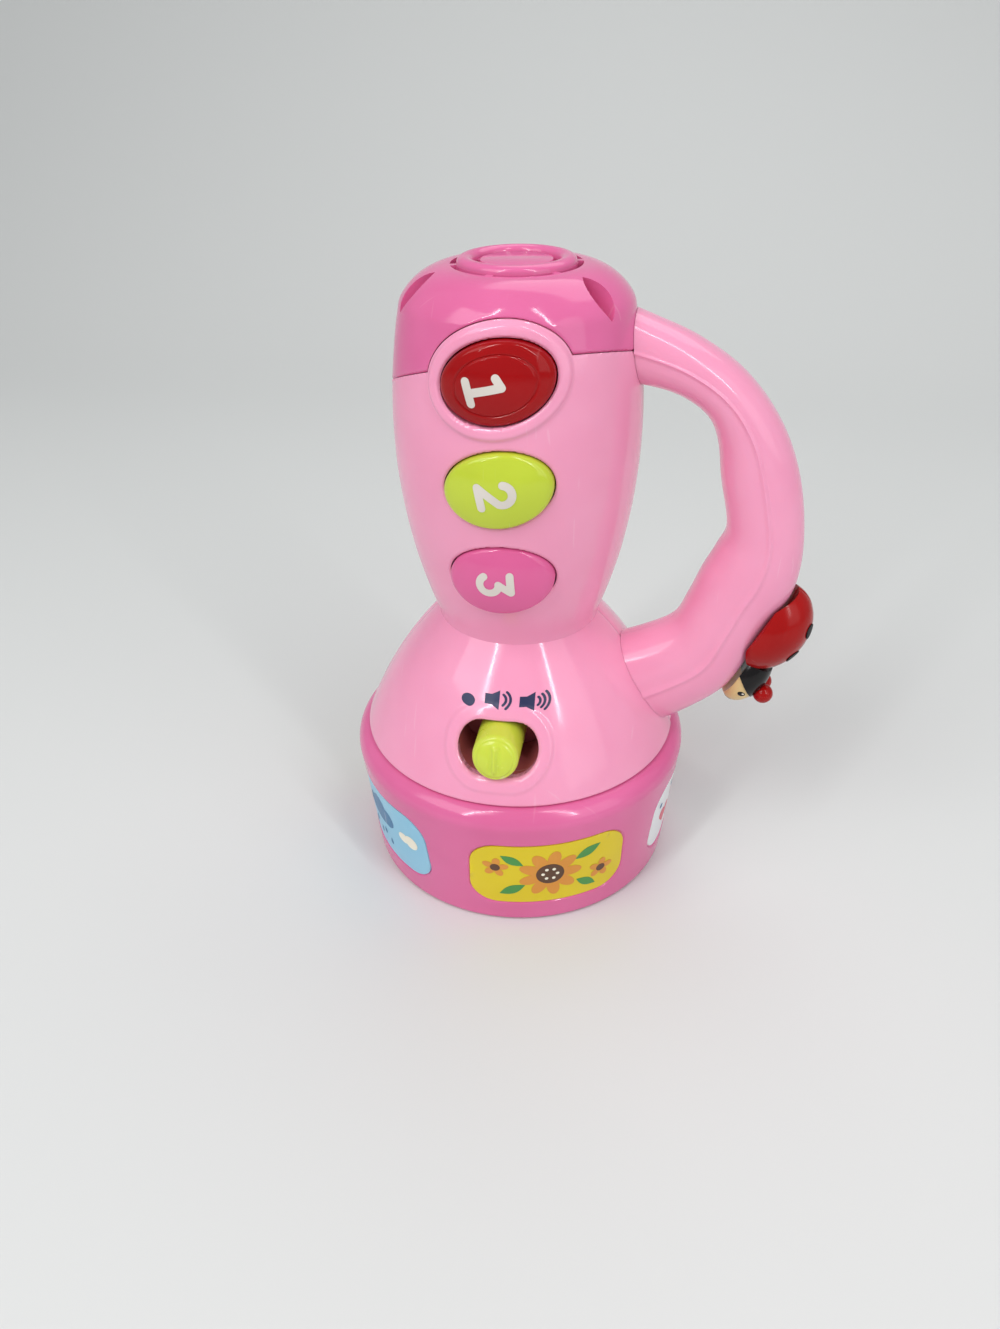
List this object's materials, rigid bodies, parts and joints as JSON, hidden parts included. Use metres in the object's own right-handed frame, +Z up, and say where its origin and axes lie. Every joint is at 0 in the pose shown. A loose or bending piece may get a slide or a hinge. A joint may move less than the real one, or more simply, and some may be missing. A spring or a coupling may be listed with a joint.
{
  "type": "toy flashlight",
  "caption": "Toy flashlight standing on its turning colour ring, with side grip, oval push buttons, a sliding volume knob and a ladybird lamp button.",
  "frame": {"origin": "centre of the ring's bottom rim, on the axis", "axes": "+Z up along the axis to the sound cap, +X towards the grip, -Y towards the push buttons"},
  "size_m": [0.1395, 0.1054, 0.1862],
  "materials": {
    "light_pink_plastic": "glossy",
    "hot_pink_plastic": "glossy",
    "clear_plastic": "clear",
    "mirror_plastic": "metallised",
    "white_plastic": "satin",
    "steel": "plated",
    "circuit_board": "satin",
    "label_yellow": "printed film",
    "label_white": "printed film",
    "label_orange": "printed film",
    "label_green": "printed film",
    "label_blue": "printed film",
    "button_red": "translucent",
    "button_green": "glossy",
    "button_violet": "translucent",
    "keypad_rubber": "matte",
    "dark_plastic": "matte",
    "speaker_paper": "matte",
    "magnet": "matte",
    "cell_case": "printed",
    "ladybird_red": "glossy",
    "ladybird_black": "glossy",
    "ladybird_cream": "painted"
  },
  "bodies": {
    "housing": {"front_housing": "light_pink_plastic", "rear_housing": "light_pink_plastic", "handle_front": "light_pink_plastic", "handle_rear": "light_pink_plastic", "end_cap": "hot_pink_plastic", "reflector": "mirror_plastic", "ring_retainer": "white_plastic", "retainer_screws": "steel", "lamp_board": "circuit_board", "main_lamp": "white_plastic", "keypad": "keypad_rubber", "main_board": "circuit_board", "button_lamps": "white_plastic", "volume_switch": "dark_plastic", "speaker_frame": "dark_plastic", "speaker_cone": "speaker_paper", "speaker_magnet": "magnet", "battery_tray": "white_plastic", "battery_cells": "cell_case", "cell_springs": "steel", "cell_contacts": "steel", "battery_door": "light_pink_plastic", "door_screw": "steel", "housing_screws": "steel", "ladybird_spring": "steel", "ladybird_switch": "dark_plastic"},
    "ring": {"color_ring": "hot_pink_plastic", "lens": "clear_plastic", "label_1": "label_yellow", "label_2": "label_white", "label_3": "label_orange", "label_4": "label_green", "label_5": "label_blue"},
    "button_1": {"button_1": "button_red"},
    "button_2": {"button_2": "button_green"},
    "button_3": {"button_3": "button_violet"},
    "volume_knob": {"volume_knob": "button_green"},
    "ladybird": {"ladybird_shell": "ladybird_red", "ladybird_spots": "ladybird_black", "ladybird_head": "ladybird_black", "ladybird_face": "ladybird_cream", "ladybird_feelers": "ladybird_red"}
  },
  "joints": [
    {"name": "ring_turn", "type": "hinge", "parent": "housing", "child": "ring", "pos_m": [0, 0, 0.044], "axis": [0, 0, 1], "continuous": true},
    {"name": "button_1_press", "type": "slide", "parent": "housing", "child": "button_1", "axis": [0, 1, 0], "range_m": [0, 0.002], "stiffness_N_per_m": 600},
    {"name": "button_2_press", "type": "slide", "parent": "housing", "child": "button_2", "axis": [0, 1, 0], "range_m": [0, 0.002], "stiffness_N_per_m": 600},
    {"name": "button_3_press", "type": "slide", "parent": "housing", "child": "button_3", "axis": [0, 1, 0], "range_m": [0, 0.002], "stiffness_N_per_m": 600},
    {"name": "volume_slide", "type": "slide", "parent": "housing", "child": "volume_knob", "axis": [1, 0, 0], "range_m": [-0.0046, 0.0046]},
    {"name": "ladybird_press", "type": "slide", "parent": "housing", "child": "ladybird", "axis": [-0.8894, 0, 0.4571], "range_m": [0, 0.0015], "stiffness_N_per_m": 800, "deforming": ["ladybird_spring"]}
  ]
}
